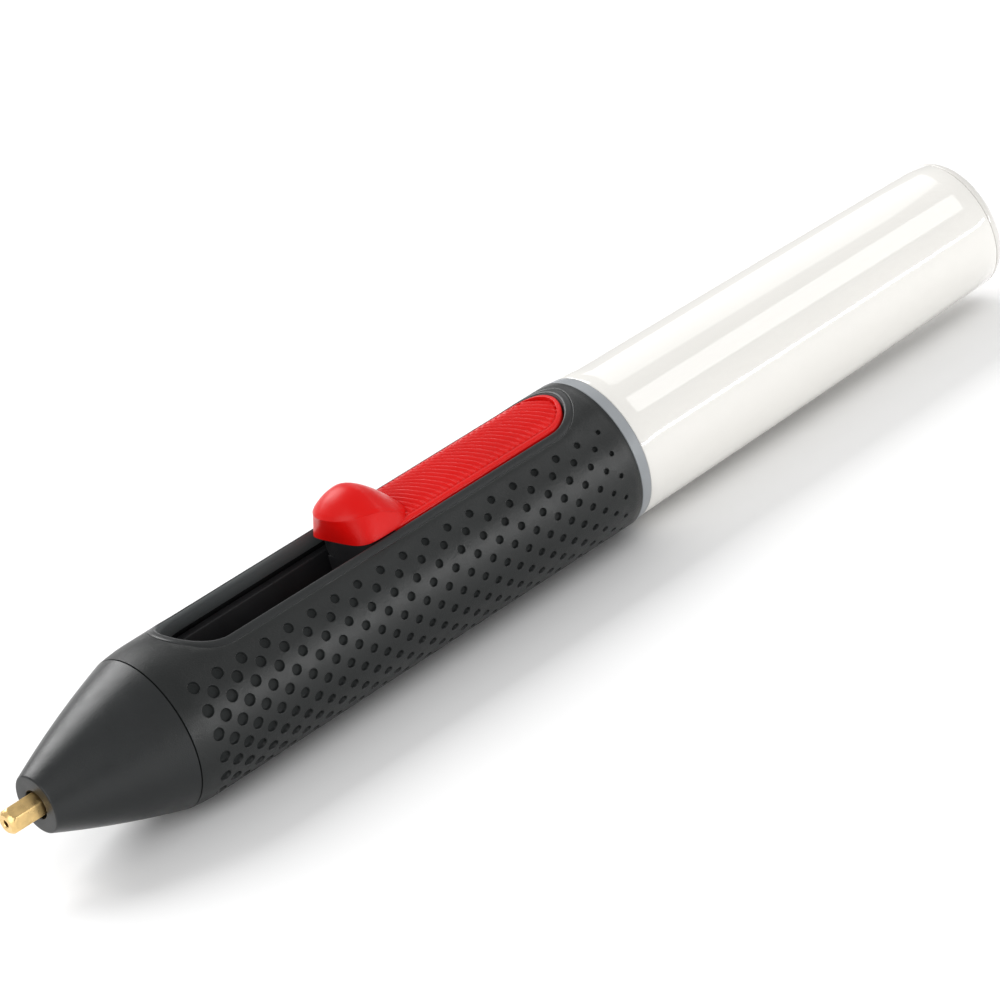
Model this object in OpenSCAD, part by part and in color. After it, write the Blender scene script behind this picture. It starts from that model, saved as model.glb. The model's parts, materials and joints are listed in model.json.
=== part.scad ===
// Cordless glue pen: a heated nozzle and melt chamber in front, an open loading trough with a thumb
// slider in the grip, and a pull-off barrel over two cells and a circuit board.
// Millimetres. Every piece is drawn along +X from the nozzle tip, on the pen's own axis, and then
// placed so that the origin is under the middle of the pen, on the surface it lies on, slider up.

/* [Overall] */
// Length from the nozzle tip to the rear end
total_l = 205; // [204.6:0.2:206.4]
// Largest outer radius, just behind the seam between nose and grip
grip_r = 13.5; // [13.4:0.1:13.9]
// Outer radius at the seam between nose and grip
seam_r = 13.1; // [13:0.1:13.3]
// Outer radius of the grip at its rear end
grip_rear_r = 13.08; // [13:0.02:13.2]

/* [Nozzle and nose] */
// Width across the flats of the hexagonal nozzle
nozzle_af = 4.0; // [3.6:0.1:4.2]
// Radius of the hole that the glue leaves by
orifice_r = 0.6; // [0.4:0.1:0.9]
// Distance from the nozzle tip to the flat front of the nose
nose_x = 5.95; // [5.5:0.05:6.2]
// Radius of the flat front of the nose
nose_face_r = 4.93; // [4.8:0.01:5.1]
// Distance from the nozzle tip to the seam between nose and grip
seam_x = 27.9; // [27.5:0.1:28.4]

/* [Glue path] */
// Radius of the melt chamber's bore, for a 7 mm glue stick
inlet_r = 3.6; // [3.55:0.05:3.65]
// Length of the full-width part of that bore
inlet_l = 15; // [12:0.5:15.5]
// Distance from the nozzle tip to the mouth of the melt chamber
inlet_x = 35; // [34.8:0.1:35.2]

/* [Slot and slider] */
// Front end of the slot's clear opening
slot_x0 = 36.2; // [36.1:0.1:36.4]
// Rear end of the slot's clear opening
slot_x1 = 117.2; // [116.8:0.1:117.3]
// Half the width of the slot's clear opening
slot_w = 7.06; // [7:0.02:7.2]
// Width of the bezel round the slot
bezel_w = 1.39; // [1.2:0.01:1.5]
// Front of the thumb slider at rest
slider_x0 = 70; // [69.6:0.1:70.4]
// Length of the slider's raised hump
hump_l = 10.8; // [10:0.2:12]
// Height of the hump above the pen's axis
hump_z = 18.9; // [18:0.1:19.2]

/* [Ring and barrel] */
// Distance from the nozzle tip to the front of the grey ring
ring_x = 120.4; // [120.2:0.1:120.6]
// Width of the grey ring
ring_w = 2.1; // [1.8:0.1:2.3]
// Outer radius of the barrel at its front
barrel_r0 = 12.8; // [12.7:0.05:12.95]
// Outer radius of the barrel at its rear
barrel_r1 = 11.3; // [11.3:0.05:11.6]
// Inner radius of the barrel at its front
barrel_in0 = 11.1; // [11.05:0.01:11.2]
// Inner radius of the barrel at its rear
barrel_in1 = 10.1; // [10.05:0.01:10.2]
// Distance from the nozzle tip to the joint between barrel and end cap
cap_x = 202.8; // [202.6:0.1:202.8]

/* [Rear end] */
// Radius of the power button
button_r = 4; // [3.4:0.1:4.2]
// Travel of the power button
button_travel = 0.7; // [0.4:0.1:0.7]

/* [Cells] */
// Radius of a cell
cell_r = 7.2; // [7:0.05:7.2]
// Length of a cell without its raised contact
cell_l = 49.5; // [49:0.1:49.5]
// Height of the cells' axis against the pen's axis
cell_z = -2.2; // [-2.3:0.05:-2.2]

/* [Hidden] */
$fn = 64;
eps = 0.01;            // depth by which a cut runs past a face
gap = 0.05;            // radial room between pieces that are assembled and stay put
wall = 1.5;            // wall of the nose and of the grip
sleeve_in = 11.8;      // inside of the soft grip sleeve
core_in = 10.55;       // inside of the hard grip core
widest_x = seam_x + 5; // where the grip is widest
spigot_x = seam_x + 4; // rear end of the nose's spigot inside the grip
nose_swell = 1.75;     // how far the nose swells beyond a straight cone
nose_hole = 2.5;       // radius of the hole that the nozzle comes out of
deck_z = 7.6;          // height of the trough's deck, on which the carriage runs
deck_open = 5.6;       // half the width of the trough between the two sides of the deck
guide_z = 8.4;         // underside of the bezel's wall, above the carriage's guide groove
guide_w = 0.7;         // depth of that groove
groove_r = 3.9;        // glue groove along the trough
trough_low_z = 3;      // height at which the trough widens above the glue groove
trough_x0 = 36.6;      // front end of the trough
trough_x1 = 88;        // rear end of its block
run_gap = 0.2;         // room between the carriage and the deck
play = 0.36;           // room between the slider and the bezel
slider_x1 = slot_x1 - play;
slider_w = slot_w - play;
cap_under_z = 11;      // underside of the red cap
nose_arc = 9.5;        // radius of the slider's front end in plan
dome_h = 6;            // half the height of the ellipsoid that domes the hump
hump_round = 3;        // how much longer that ellipsoid is than the hump
pad_low_z = 12.3;      // floor of the dish in the ribbed pad
pad_lip = 1.1;         // width of the lip round that dish
cap_drop = 0.15;       // how far the cap's sides stay under the grip's surface
pusher_r = 3.3;        // radius of the pusher, a little less than a glue stick's
pusher_x1 = 80;        // rear end of the pusher
pusher_x0 = 67.5;      // front of the pusher's soft tip
core_x1 = 119.3;       // rear end of the hard grip core
contact_x = 90;        // rear face of the bulkhead
cell_nub = 1;          // length of a cell's raised contact
cell_x0 = 92.3;        // front of the front cell
cell_x1 = cell_x0 + 2 * (cell_nub + cell_l);
cradle_end = cell_x1 + 4.2;
cradle_r = 8.6;        // outside of the cradle, about the cells' axis
flange_r = 10.6;       // round flange of the cradle inside the ring and the barrel
flange_x1 = 130;       // and its rear end
seal_x = 126;          // middle of the sealing ring
seat_z = 5.6;          // seat of the circuit board
board_z = seat_z + 0.1;
board_t = 1;           // thickness of the circuit board
board_x0 = 131;        // front end of the circuit board
ring_x1 = ring_x + ring_w;
button_z = -3;         // height of the power button
face_x = total_l;      // outer face of the end cap
cap_wall = 1.6;        // thickness of the end cap's face
edge_r = 2.2;          // rounding of the rear end
spigot_r = barrel_in1 - gap;
spigot_l = 3;          // length of the end cap's spigot inside the barrel
usb_z = 4.25;          // middle of the charging socket
light_z = 7.5;         // height of the status light
spring_turns = 3;      // turns of the rear contact spring
spring_steps = 16;     // steps in each turn
wire_r = 0.3;          // radius of its wire

// ---- shared shapes ----

// A solid of revolution about the pen's axis, from points [radius, distance from the tip]
module turned(points) rotate([0, 90, 0]) rotate_extrude() polygon(points);

// A round bar or hole along the pen's axis
module bar(x0, x1, r, y = 0, z = 0)
    translate([x0, y, z]) rotate([0, 90, 0]) cylinder(r = r, h = x1 - x0);

module tube(x0, x1, r_out, r_in, z = 0) difference() {
    bar(x0, x1, r_out, 0, z);
    bar(x0 - eps, x1 + eps, r_in, 0, z);
}

module block(x0, x1, half_y, z0, z1) translate([x0, -half_y, z0]) cube([x1 - x0, 2 * half_y, z1 - z0]);

// A round-ended outline of half width w, and the upright prism on it
module stadium(x0, x1, w) {
    translate([x0 + w, -w]) square([x1 - x0 - 2 * w, 2 * w]);
    translate([x0 + w, 0]) circle(r = w);
    translate([x1 - w, 0]) circle(r = w);
}
module slot(x0, x1, w, z0, z1) translate([0, 0, z0]) linear_extrude(z1 - z0) stadium(x0, x1, w);

// The grip's outer surface, pushed out by d
function grip_line(d) = [[seam_r + d, seam_x], [grip_r - 0.08 + d, seam_x + 2.2], [grip_r + d, widest_x],
    [grip_r - 0.02 + d, widest_x + 9], [grip_rear_r + d, ring_x]];
module grip_form(d) turned(concat([[0, seam_x]], grip_line(d), [[0, ring_x]]));

// The nose's swelling outline between its flat front and the seam
function nose_r(t) = nose_face_r + (seam_r - nose_face_r) * t + nose_swell * t * (1 - t);
function nose_line(d, t0) = [for (i = [0:10]) let (t = t0 + (1 - t0) * i / 10)
    [nose_r(t) - d, nose_x + (seam_x - nose_x) * t]];

// Places the drawn pen over the origin
module place() translate([-total_l / 2, 0, grip_r]) children();

// ---- nose and heater ----

module nozzle() color([0.85, 0.68, 0.38]) place() difference() {
    union() {
        intersection() {
            rotate([0, 90, 0]) cylinder(d = nozzle_af / cos(30), h = nose_x + 1, $fn = 6);
            turned([[0, 0], [1.5, 0], [2.15, 0.7], [3, 1.1], [3, nose_x + 1], [0, nose_x + 1]]);
        }
        bar(nose_x + 1, 10, 2.4);
        bar(10, 17, 2.2);
    }
    bar(-eps, 3.2, orifice_r);
    bar(3, 17 + eps, 1.4);
}

module nose_cone() color([0.17, 0.17, 0.18]) place() difference() {
    union() {
        turned(concat([[0, nose_x]], nose_line(0, 0), [[0, seam_x]]));
        bar(seam_x - eps, spigot_x, sleeve_in - gap);
    }
    turned(concat([[0, nose_x + 1.7]], nose_line(wall, 0.08),
        [[core_in, spigot_x + eps], [0, spigot_x + eps]]));
    bar(nose_x - eps, nose_x + 2, nose_hole);
}

module tip_insulator() color([0.75, 0.3, 0.2]) place() tube(nose_x + 1.8, 9.95, 3.6, 2.4 + gap);

module melt_chamber() color([0.75, 0.76, 0.78]) place() difference() {
    bar(10, inlet_x, 5.2);
    bar(10 - eps, 17, 2.2 + gap);
    turned([[0, 17 - eps], [1.4, 17 - eps], [inlet_r, inlet_x - inlet_l], [0, inlet_x - inlet_l]]);
    bar(inlet_x - inlet_l - eps, inlet_x + eps, inlet_r);
}

module heater_winding() color([0.72, 0.45, 0.25]) place() for (i = [0:6])
    tube(17.6 + 1.5 * i, 18.7 + 1.5 * i, 6, 5.2 + gap);

module heater_insulation() color([0.9, 0.88, 0.8]) place() tube(17.2, 29, 7.2, 6 + gap);

module thermal_sensor() color([0.2, 0.2, 0.22]) place() union() {
    block(22.5, 26.5, 1.2, -9, -7.3);
    bar(26.4, 29.2, 0.4, 0.7, -8.2);
    bar(26.4, 29.2, 0.4, -0.7, -8.2);
}

module chamber_holder() color([0.3, 0.3, 0.32]) place() difference() {
    bar(29.5, 34.3, core_in - gap);
    bar(29.4, 34.4, 5.2 + gap);
    for (side = [-1, 1]) {
        bar(30, 34.4, 0.85, side * 7.8);
        bar(29.4, 34.4, 1.1, side * 2, -7.4);
    }
}

module holder_screws() color([0.7, 0.7, 0.72]) place() for (side = [-1, 1]) difference() {
    union() {
        bar(30.2, 34.4, 0.8, side * 7.8);
        bar(34.35, 35.2, 1.5, side * 7.8);
    }
    translate([34.8, side * 7.8 - 0.25, -1]) cube([1, 0.5, 2]);
}

module inlet_sleeve() color([0.75, 0.3, 0.2]) place()
    tube(inlet_x + gap, trough_x0 - gap, 5.5, inlet_r + 0.2);

module heater_leads() color([0.75, 0.1, 0.1]) place() for (side = [-1, 1])
    bar(29.3, contact_x - 1.9, 0.7, side * 2, -7.4);

// ---- grip ----

module grip_sleeve() color([0.14, 0.14, 0.15]) place() difference() {
    grip_form(0);
    bar(seam_x - eps, ring_x + eps, sleeve_in);
    slot(slot_x0 - bezel_w - gap, slot_x1 + bezel_w + gap, slot_w + bezel_w + gap, 0, 20);
}

module grip_core() color([0.22, 0.22, 0.24]) place() difference() {
    tube(spigot_x + 0.1, core_x1, sleeve_in - gap, core_in);
    slot(slot_x0 - bezel_w - gap, slot_x1 + bezel_w + gap, slot_w + bezel_w + gap, 0, 20);
}

module slot_bezel() color([0.13, 0.13, 0.14]) place() intersection() {
    grip_form(0.1);
    difference() {
        slot(slot_x0 - bezel_w, slot_x1 + bezel_w, slot_w + bezel_w, deck_z + gap, 20);
        slot(slot_x0, slot_x1, slot_w, deck_z - eps, 21);
        slot(slot_x0 - guide_w, slot_x1 + guide_w, slot_w + guide_w, deck_z - eps, guide_z);
    }
}

module feed_trough() color([0.1, 0.1, 0.11]) place() difference() {
    intersection() {
        bar(trough_x0, slot_x1 + bezel_w, core_in - gap);
        union() {
            block(trough_x0, trough_x1, 8.3, -5.6, deck_z);
            block(trough_x1 - eps, slot_x1 + bezel_w, 8.3, deck_z - 1.2, deck_z);
        }
    }
    bar(trough_x0 - eps, trough_x1 + eps, groove_r);
    block(trough_x0 - eps, trough_x1 - 3, groove_r, 0, deck_z);
    block(trough_x0 - eps, trough_x1 - 3, deck_open, trough_low_z, deck_z + eps);
}

// ---- slider ----

// The slider's plan: as wide as the slot lets it be, with a shallow arc in front and a round rear end
module slider_plan(d) intersection() {
    stadium(slider_x0 - slider_w, slider_x1 - d, slider_w - d);
    union() {
        translate([slider_x0 + d + nose_arc, 0]) circle(r = nose_arc);
        translate([slider_x0 + d + nose_arc - 2, -10]) square([60, 20]);
    }
}
module slider_prism(d, z0, z1) translate([0, 0, z0]) linear_extrude(z1 - z0) slider_plan(d);

// A domed hump on a ribbed pad, whose upper face is a little dished
module slider_cap() color([0.85, 0.07, 0.07]) place() union() {
    difference() {
        intersection() {
            grip_form(-cap_drop);
            slider_prism(0, cap_under_z, 20);
        }
        slot(slider_x0 + hump_l, slider_x1 - pad_lip, slider_w - pad_lip, pad_low_z, 20);
    }
    hump();
}

// The hump's wall follows the slider's plan; its dome is highest over its middle
module hump() intersection() {
    slider_prism(0, cap_under_z, 20);
    translate([slider_x0 + hump_l / 2, 0, hump_z - dome_h])
        resize([hump_l + hump_round, 2 * slider_w + 2, 2 * dome_h]) sphere(r = 8, $fn = 56);
}

module slider_carriage() color([0.16, 0.16, 0.17]) place() difference() {
    slider_prism(0.3, deck_z + run_gap, cap_under_z);
    slot(94, 114, 2.2, deck_z, deck_z + 1.4);
}

module pusher() color([0.5, 0.5, 0.53]) place() union() {
    bar(pusher_x0 + 3, pusher_x1, pusher_r);
    block(pusher_x0 + 3, pusher_x1, pusher_r, 0, deck_z + run_gap);
}

module pusher_tip() color([0.75, 0.3, 0.2]) place() bar(pusher_x0, pusher_x0 + 3, pusher_r);

module detent_spring() color([0.7, 0.72, 0.75]) place() union() {
    block(94.9, 96.5, 1.6, deck_z + 0.6, deck_z + 1.4);
    block(96.4, 112, 1.6, deck_z + 0.6, deck_z + 0.9);
    translate([110, 1.6, deck_z + 0.7]) rotate([90, 0, 0]) cylinder(r = 0.45, h = 3.2);
}

// ---- cells and their holder ----

module bulkhead() color([0.25, 0.25, 0.27]) place() difference() {
    intersection() {
        bar(contact_x - 1.8, contact_x, core_in - gap);
        block(contact_x - 2, contact_x + 1, 12, -12, deck_z - 1.3);
    }
    bar(contact_x - 2, contact_x + 1, 2.2, 0, cell_z);
}

module front_contact() color([0.8, 0.8, 0.82]) place() union() {
    bar(contact_x - 1.7, contact_x + 0.1, 2.1, 0, cell_z);
    bar(contact_x + gap, contact_x + 0.4, 4.2, 0, cell_z);
    translate([contact_x + 0.4, 0, cell_z]) rotate([0, 90, 0]) cylinder(r1 = 3, r2 = 1.6, h = 1.8);
}

module battery_cradle() color([0.2, 0.2, 0.22]) place() difference() {
    union() {
        intersection() {
            bar(contact_x + 0.1, cradle_end, cradle_r, 0, cell_z);
            block(contact_x, cradle_end, 9, cell_z, seat_z - 0.2);
        }
        bar(core_x1 + 0.1, flange_x1, flange_r);
        intersection() {
            bar(cradle_end - 1.2, cradle_end, 9.9);
            block(cradle_end - 1.2, cradle_end, 9.9, -9.9, seat_z);
        }
        block(flange_x1 - eps, cradle_end, 5.5, 0, seat_z);
    }
    bar(contact_x, cradle_end - 1.2, cell_r + 0.2, 0, cell_z);
    turned([[flange_r - 0.75, seal_x - 0.6], [flange_r + 1, seal_x - 0.6], [flange_r + 1, seal_x + 0.6],
        [flange_r - 0.75, seal_x + 0.6]]);
    block(core_x1, slot_x1 + 4.4, 12, seat_z, 12);
}

module cell(x0) union() {
    bar(x0, x0 + cell_nub + eps, 2.75, 0, cell_z);
    turned_cell(x0 + cell_nub);
}
// A cell's can, with small bevels at its ends
module turned_cell(x0) translate([0, 0, cell_z]) turned([[0, x0], [cell_r - 0.4, x0], [cell_r, x0 + 0.4],
    [cell_r, x0 + cell_l - 0.4], [cell_r - 0.4, x0 + cell_l], [0, x0 + cell_l]]);
module battery_cell_front() color([0.2, 0.45, 0.35]) place() cell(cell_x0);
module battery_cell_rear() color([0.2, 0.45, 0.35]) place() cell(cell_x0 + cell_nub + cell_l);

// Conical contact spring: a round wire swept along a widening helix
function coil(i) =
    let (t = i / (spring_turns * spring_steps), a = 360 * i / spring_steps, r = 2.2 + 2.6 * t)
    [cell_x1 + 0.4 + 1.9 * t, r * cos(a), cell_z + r * sin(a)];
function wire_ring(i) = let (a = 360 * i / spring_steps) [for (k = [0:5]) let (b = 60 * k)
    coil(i) + wire_r * [sin(b), cos(b) * cos(a), cos(b) * sin(a)]];
module rear_contact_spring() color([0.8, 0.8, 0.82]) place() let (n = spring_turns * spring_steps)
    polyhedron(
        points = [for (i = [0:n]) each wire_ring(i)],
        faces = concat(
            [[for (k = [0:5]) k]],
            [for (i = [0:n - 1], k = [0:5]) each [
                [6 * i + k, 6 * i + 6 + k, 6 * i + 6 + (k + 1) % 6],
                [6 * i + k, 6 * i + 6 + (k + 1) % 6, 6 * i + (k + 1) % 6]]],
            [[for (k = [5:-1:0]) 6 * n + k]]));

module rear_contact_plate() color([0.8, 0.8, 0.82]) place()
    tube(cell_x1 + 2.65, cell_x1 + 2.95, 5.6, 1.2, cell_z);

module barrel_seal() color([0.1, 0.1, 0.1]) place() rotate([0, 90, 0]) rotate_extrude()
    translate([flange_r - 0.3, seal_x]) circle(r = 0.42);

// ---- electronics ----

module circuit_board() color([0.1, 0.35, 0.2]) place() difference() {
    block(board_x0, total_l - cap_wall - 0.6, 6, board_z, board_z + board_t);
    translate([board_x0 + 3, 4, 0]) cylinder(r = 1, h = 10);
}

module board_components() color([0.12, 0.12, 0.13]) place() {
    top = board_z + board_t;
    block(140, 146, 2.5, top, top + 1.2);
    block(168, 172, 2, top, top + 0.9);
    for (x = [152, 158.5]) translate([x, 0, top]) cylinder(r = 2.4, h = 1.8);
    for (x = [176:4:188]) block(x, x + 1.6, 0.8, top, top + 0.7);
}

module status_light() color([0.5, 0.9, 0.5]) place() union() {
    block(199, 201.2, 1, board_z + board_t, board_z + board_t + 1);
    bar(201.1, 202.6, 0.7, 0, light_z);
}

module usb_socket() color([0.75, 0.75, 0.77]) place() union() {
    difference() {
        block(cradle_end + 0.1, face_x - 0.5, 3.8, usb_z - 1.4, board_z);
        block(cradle_end + 1, face_x, 3.4, usb_z - 1, usb_z + 1);
    }
    block(cradle_end + 0.9, face_x - 1.3, 2.6, usb_z - 0.3, usb_z + 0.3);
}

module switch_board() color([0.1, 0.35, 0.2]) place()
    block(cradle_end + gap, cradle_end + 0.9, 4.5, -8, 1.5);

module tact_switch() color([0.3, 0.3, 0.32]) place() union() {
    block(cradle_end + 0.9, cradle_end + 3, 2.6, button_z - 2.6, button_z + 2.6);
    bar(cradle_end + 2.9, cradle_end + 3.6, 1.5, 0, button_z);
}

// ---- ring, barrel and rear end ----

module collar_ring() color([0.62, 0.63, 0.65]) place() difference() {
    turned([[0, ring_x], [grip_rear_r - 0.02, ring_x], [grip_rear_r - 0.02, ring_x + 0.3],
        [barrel_r0 - 0.05, ring_x1], [0, ring_x1]]);
    bar(ring_x - eps, ring_x1 + eps, flange_r + gap);
}

// The barrel's outside swells a little between its two end radii
function barrel_line() = [for (i = [0:8]) let (t = i / 8)
    [barrel_r0 + (barrel_r1 - barrel_r0) * t + 0.5 * t * (1 - t), ring_x1 + (cap_x - ring_x1) * t]];
module barrel() color([0.93, 0.92, 0.9]) place() difference() {
    turned(concat([[0, ring_x1]], barrel_line(), [[0, cap_x]]));
    turned([[0, ring_x1 - eps], [barrel_in0, ring_x1 - eps], [barrel_in1, cap_x + eps], [0, cap_x + eps]]);
}

// Rounded rear end with a short spigot inside the barrel
module end_cap() color([0.9, 0.89, 0.87]) place() difference() {
    union() {
        turned(concat([[0, cap_x]], [for (a = [0:15:90])
            [barrel_r1 - edge_r + edge_r * cos(a), face_x - edge_r + edge_r * sin(a)]], [[0, face_x]]));
        bar(cap_x - spigot_l, cap_x + eps, spigot_r);
    }
    bar(cap_x - spigot_l - eps, face_x - cap_wall, spigot_r - 0.85);
    bar(cap_x, face_x + eps, button_r + 0.15, 0, button_z);
    block(cap_x, face_x + 1, 4.05, usb_z - 1.65, board_z + 0.25);
    bar(cap_x, face_x + eps, 0.9 + gap, 0, light_z);
}

module light_window() color([0.85, 0.9, 0.85]) place() union() {
    bar(face_x - cap_wall - 0.4, face_x - 0.1, 0.9, 0, light_z);
    bar(face_x - cap_wall - 0.4, face_x - cap_wall - gap, 1.3, 0, light_z);
}

module power_button() color([0.8, 0.07, 0.07]) place() union() {
    bar(face_x - cap_wall - 0.5, face_x - 0.3, button_r, 0, button_z);
    bar(face_x - cap_wall - 0.7, face_x - cap_wall - 0.1, button_r + 0.8, 0, button_z);
    bar(cradle_end + 3.7 + button_travel, face_x - cap_wall - 0.6, 1.4, 0, button_z);
}

nozzle();
nose_cone();
tip_insulator();
melt_chamber();
heater_winding();
heater_insulation();
thermal_sensor();
chamber_holder();
holder_screws();
inlet_sleeve();
grip_sleeve();
grip_core();
slot_bezel();
feed_trough();
slider_cap();
slider_carriage();
pusher();
pusher_tip();
detent_spring();
bulkhead();
front_contact();
heater_leads();
collar_ring();
battery_cradle();
battery_cell_front();
battery_cell_rear();
rear_contact_spring();
rear_contact_plate();
barrel_seal();
circuit_board();
board_components();
status_light();
usb_socket();
switch_board();
tact_switch();
barrel();
end_cap();
light_window();
power_button();
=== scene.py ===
"""The looks of a cordless glue pen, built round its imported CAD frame.

Lengths here are in millimetres: x from the nozzle tip along the pen, y and z from its axis, with the slot up.
at() turns such a place into the frame's metres, and every piece is made through piece(), which calls it.
"""

import json
import math

import bmesh
import bpy
from mathutils import Matrix, Quaternion, Vector, geometry

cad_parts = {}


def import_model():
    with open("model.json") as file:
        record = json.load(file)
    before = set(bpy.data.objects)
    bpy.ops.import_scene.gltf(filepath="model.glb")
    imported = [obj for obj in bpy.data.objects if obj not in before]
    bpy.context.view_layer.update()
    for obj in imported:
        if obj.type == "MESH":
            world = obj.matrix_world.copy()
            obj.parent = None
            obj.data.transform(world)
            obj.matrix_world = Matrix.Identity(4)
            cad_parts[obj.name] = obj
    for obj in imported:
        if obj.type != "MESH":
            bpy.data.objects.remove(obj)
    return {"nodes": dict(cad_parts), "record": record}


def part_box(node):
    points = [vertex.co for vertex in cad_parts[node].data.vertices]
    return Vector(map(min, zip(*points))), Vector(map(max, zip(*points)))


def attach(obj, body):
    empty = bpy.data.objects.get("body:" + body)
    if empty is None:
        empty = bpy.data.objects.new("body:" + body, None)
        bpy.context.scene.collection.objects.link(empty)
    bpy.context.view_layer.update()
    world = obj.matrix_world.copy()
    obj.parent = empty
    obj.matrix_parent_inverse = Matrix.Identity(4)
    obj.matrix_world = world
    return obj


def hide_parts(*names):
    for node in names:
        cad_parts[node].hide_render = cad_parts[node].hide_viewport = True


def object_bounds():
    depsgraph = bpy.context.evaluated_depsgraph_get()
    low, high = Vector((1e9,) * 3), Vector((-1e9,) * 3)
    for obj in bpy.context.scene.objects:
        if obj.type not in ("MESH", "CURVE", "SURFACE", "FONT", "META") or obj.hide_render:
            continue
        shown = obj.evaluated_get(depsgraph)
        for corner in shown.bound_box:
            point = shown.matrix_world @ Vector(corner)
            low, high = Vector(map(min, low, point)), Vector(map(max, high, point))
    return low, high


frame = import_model()
cad_lo, cad_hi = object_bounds()

# ---- the frame's own places ----

MM = 0.001
grip_lo, grip_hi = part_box("grip_sleeve")
tip_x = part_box("nozzle")[0].x
axis_z = (grip_lo.z + grip_hi.z) / 2


def at(x, y, z):
    """A place on the pen, in millimetres, as the frame's metres."""
    return Vector((tip_x + x * MM, y * MM, axis_z + z * MM))


def span(node):
    """Where a CAD node starts and ends along the pen, in millimetres from the tip."""
    lo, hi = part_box(node)
    return (lo.x - tip_x) / MM, (hi.x - tip_x) / MM


def reach(node):
    """A CAD node's largest distance from the axis, measured sideways."""
    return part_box(node)[1].y / MM


def height(z):
    """A height in the frame, as millimetres above the pen's axis."""
    return (z - axis_z) / MM


nose_x0 = span("nose_cone")[0]
seam_x, ring_x = span("grip_sleeve")
barrel_x0, cap_x = span("barrel")
rear_x = span("end_cap")[1]
bezel_x0, bezel_x1 = span("slot_bezel")
slider_x0, slider_x1 = span("slider_cap")
slider_w = reach("slider_cap")
widest_r = reach("grip_sleeve")
barrel_r0 = reach("barrel")
barrel_r1 = reach("end_cap")
bezel_w = 1.39                  # width of the bezel's top
slot_x0 = bezel_x0 + bezel_w
slot_x1 = bezel_x1 - bezel_w
slot_w = reach("slot_bezel") - bezel_w
seam_r = 13.1                   # outer radius at the seam between nose and grip
grip_rear_r = 13.08             # and at the rear of the grip
nose_face_r = 4.93              # radius of the nose's flat front
nose_swell = 1.75               # four times what the nose stands out from a straight cone
barrel_swell = 0.5              # and the barrel
widest_x = seam_x + 5
sleeve_in = 11.8                # inside of the rubber sleeve
deck_z = height(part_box("feed_trough")[1].z)
SEAM_EDGE = 0.14                # how far from the seam and the ring their grooves begin
SEAM_GROOVE = ((0.11, 0.03), (0.1, 0.5), (0.0, 0.5))      # a groove's distances from the seam, and depths


def nose_r(x):
    """The nose's outer radius, from its flat front to the seam."""
    t = (x - nose_x0) / (seam_x - nose_x0)
    return nose_face_r + (seam_r - nose_face_r) * t + nose_swell * t * (1 - t)


def grip_r(x):
    """The grip's outer radius: a short swelling behind the seam, then a slow taper."""
    if x < widest_x:
        return widest_r - (widest_r - seam_r) * ((widest_x - x) / (widest_x - seam_x)) ** 2
    return widest_r - (widest_r - grip_rear_r) * ((x - widest_x) / (ring_x - widest_x)) ** 1.1


def grip_z(x, y):
    """The grip's height over a place in plan."""
    return math.sqrt(grip_r(x) ** 2 - y * y)


def barrel_r(x):
    """The barrel's outer radius, which swells a little between its ends."""
    t = (x - barrel_x0) / (cap_x - barrel_x0)
    return barrel_r0 + (barrel_r1 - barrel_r0) * t + barrel_swell * t * (1 - t)


# ---- materials ----


class Paint:
    """A material's node tree, with short calls for the few kinds of node used here."""

    def __init__(self, name):
        self.material = bpy.data.materials.new(name)
        self.material.use_nodes = True
        self.tree = self.material.node_tree
        self.shader = self.tree.nodes["Principled BSDF"]
        self.place = self.add("ShaderNodeTexCoord").outputs["Object"]

    def add(self, kind, inputs=None, **settings):
        """Adds a node, with its inputs fed and its settings made."""
        node = self.tree.nodes.new(kind)
        for key, value in settings.items():
            setattr(node, key, value)
        for key, value in (inputs or {}).items():
            self.feed(node.inputs[key], value)
        return node

    def feed(self, socket, value):
        """Links an output to a socket, or sets the socket's own value."""
        if isinstance(value, bpy.types.NodeSocket):
            self.tree.links.new(value, socket)
        else:
            socket.default_value = value

    def set(self, **inputs):
        """Sets the shader's sockets; an underscore stands for a space in a socket's name."""
        for key, value in inputs.items():
            self.feed(self.shader.inputs[key.replace("_", " ")], value)

    def stretched(self, scale):
        """The object's own coordinates, stretched by a scale for each axis."""
        return self.add("ShaderNodeMapping", {"Vector": self.place, "Scale": scale}).outputs["Vector"]

    def noise(self, scale, detail=2.0, rough=0.5, place=None):
        """A cloudy texture; a larger scale makes it finer."""
        inputs = {"Vector": place or self.place, "Scale": scale, "Detail": detail, "Roughness": rough}
        return self.add("ShaderNodeTexNoise", inputs).outputs["Fac"]

    def range(self, value, low, high, from_low=0.3, from_high=0.7):
        """Spreads a texture's value between two numbers."""
        inputs = {"Value": value, "From Min": from_low, "From Max": from_high, "To Min": low, "To Max": high}
        return self.add("ShaderNodeMapRange", inputs).outputs["Result"]

    def mix(self, factor, first, second):
        """Blends two colours. The node has sockets for other kinds of value too, so these go by number."""
        return self.add("ShaderNodeMix", {0: factor, 6: first, 7: second}, data_type="RGBA").outputs[2]

    def bump(self, texture, depth):
        """Raises and sinks the surface by a texture, over a depth in metres."""
        return self.add("ShaderNodeBump", {"Height": texture, "Distance": depth}).outputs["Normal"]


def rgb(colour, gain=1.0):
    """A colour for a socket, made darker or lighter by a gain."""
    return (colour[0] * gain, colour[1] * gain, colour[2] * gain, 1.0)


def mottled(paint, colour, spread, scale):
    """The colour, drifting a little darker and lighter over the surface."""
    cloud = paint.range(paint.noise(scale, 3.0), 0.0, 1.0)
    return paint.mix(cloud, rgb(colour, 1 - spread), rgb(colour, 1 + spread))


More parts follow.
